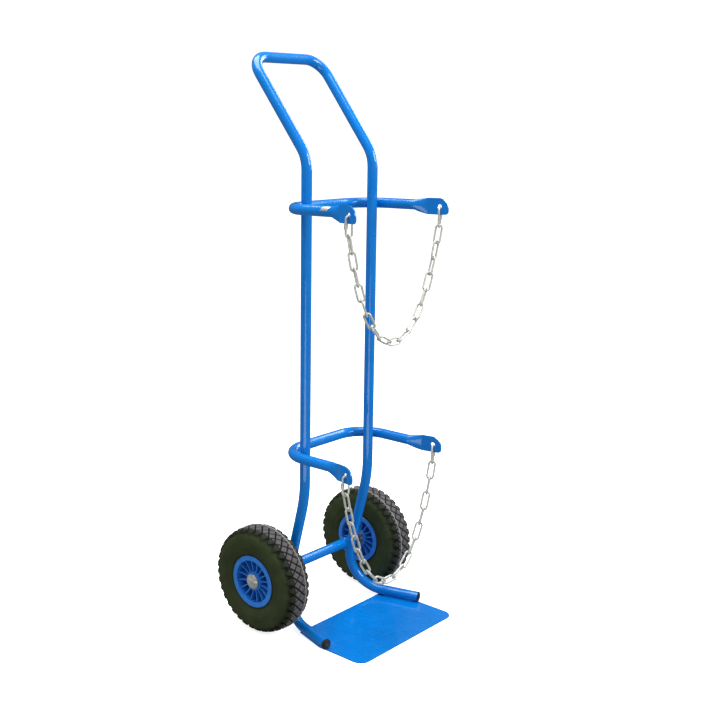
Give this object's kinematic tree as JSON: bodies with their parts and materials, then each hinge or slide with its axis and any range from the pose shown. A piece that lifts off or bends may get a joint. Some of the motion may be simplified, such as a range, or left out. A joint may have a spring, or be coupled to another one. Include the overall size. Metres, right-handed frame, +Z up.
{
  "type": "gas cylinder hand truck",
  "caption": "Upright tubular hand truck for a gas cylinder, with a slanted handle loop, two U hoops with chains, a toe plate and pneumatic wheels.",
  "frame": {"origin": "on the ground, under the centre of the bounding box", "axes": "+Z up, -Y towards the toe plate at the front, +X along the axle"},
  "size_m": [0.4878, 0.424, 1.3735],
  "materials": {
    "blue_paint": "gloss powder coat",
    "zinc_steel": "bright zinc plate",
    "bare_steel": "turned steel",
    "black_plastic": "satin",
    "rim_plastic": "moulded, satin gloss",
    "tyre_rubber": "matt",
    "tube_rubber": "matt",
    "foil": "satin foil"
  },
  "bodies": {
    "frame": {"axle_rod": "bare_steel", "axle_tube": "blue_paint", "axle_welds": "blue_paint", "foil_label": "foil", "frame_tube": "blue_paint", "hoop_welds": "blue_paint", "left_axle_cap": "zinc_steel", "left_spacer": "zinc_steel", "left_washer_inner": "zinc_steel", "left_washer_outer": "zinc_steel", "lower_hoop": "blue_paint", "plug_left": "black_plastic", "plug_right": "black_plastic", "right_axle_cap": "zinc_steel", "right_spacer": "zinc_steel", "right_washer_inner": "zinc_steel", "right_washer_outer": "zinc_steel", "toe_plate": "blue_paint", "upper_hoop": "blue_paint"},
    "left_wheel": {"left_tyre": "tyre_rubber", "left_inner_tube": "tube_rubber", "left_valve_stem": "tube_rubber", "left_valve_cap": "black_plastic", "left_rim_outer": "rim_plastic", "left_rim_inner": "rim_plastic", "left_rim_screws": "zinc_steel", "left_rim_nuts": "zinc_steel", "left_bearing_outer": "bare_steel", "left_bearing_inner": "bare_steel"},
    "right_wheel": {"right_tyre": "tyre_rubber", "right_inner_tube": "tube_rubber", "right_valve_stem": "tube_rubber", "right_valve_cap": "black_plastic", "right_rim_outer": "rim_plastic", "right_rim_inner": "rim_plastic", "right_rim_screws": "zinc_steel", "right_rim_nuts": "zinc_steel", "right_bearing_outer": "bare_steel", "right_bearing_inner": "bare_steel"},
    "upper_chain_set": {"upper_chain": "zinc_steel", "upper_quick_link_left": "zinc_steel", "upper_quick_link_right": "zinc_steel"},
    "upper_left_nut": {"upper_quick_nut_left": "zinc_steel"},
    "upper_right_nut": {"upper_quick_nut_right": "zinc_steel"},
    "lower_chain_set": {"lower_chain": "zinc_steel", "lower_quick_link_left": "zinc_steel", "lower_quick_link_right": "zinc_steel"},
    "lower_left_nut": {"lower_quick_nut_left": "zinc_steel"},
    "lower_right_nut": {"lower_quick_nut_right": "zinc_steel"}
  },
  "joints": [
    {"name": "left_wheel_spin", "type": "hinge", "parent": "frame", "child": "left_wheel", "pos_m": [-0.2, 0.082, 0.13], "axis": [1, 0, 0], "continuous": true},
    {"name": "right_wheel_spin", "type": "hinge", "parent": "frame", "child": "right_wheel", "pos_m": [0.2, 0.082, 0.13], "axis": [1, 0, 0], "continuous": true},
    {"name": "upper_chain_swing", "type": "hinge", "parent": "frame", "child": "upper_chain_set", "pos_m": [0, -0.1464, 1.013], "axis": [1, 0, 0], "range_deg": [-12, 28]},
    {"name": "upper_left_nut_slide", "type": "slide", "parent": "upper_chain_set", "child": "upper_left_nut", "axis": [0, 0, -1], "range_m": [0, 0.0075]},
    {"name": "upper_right_nut_slide", "type": "slide", "parent": "upper_chain_set", "child": "upper_right_nut", "axis": [0, 0, -1], "range_m": [0, 0.0075]},
    {"name": "lower_chain_swing", "type": "hinge", "parent": "frame", "child": "lower_chain_set", "pos_m": [0, -0.1464, 0.432], "axis": [1, 0, 0], "range_deg": [-12, 28]},
    {"name": "lower_left_nut_slide", "type": "slide", "parent": "lower_chain_set", "child": "lower_left_nut", "axis": [0, 0, -1], "range_m": [0, 0.0075]},
    {"name": "lower_right_nut_slide", "type": "slide", "parent": "lower_chain_set", "child": "lower_right_nut", "axis": [0, 0, -1], "range_m": [0, 0.0075]}
  ]
}
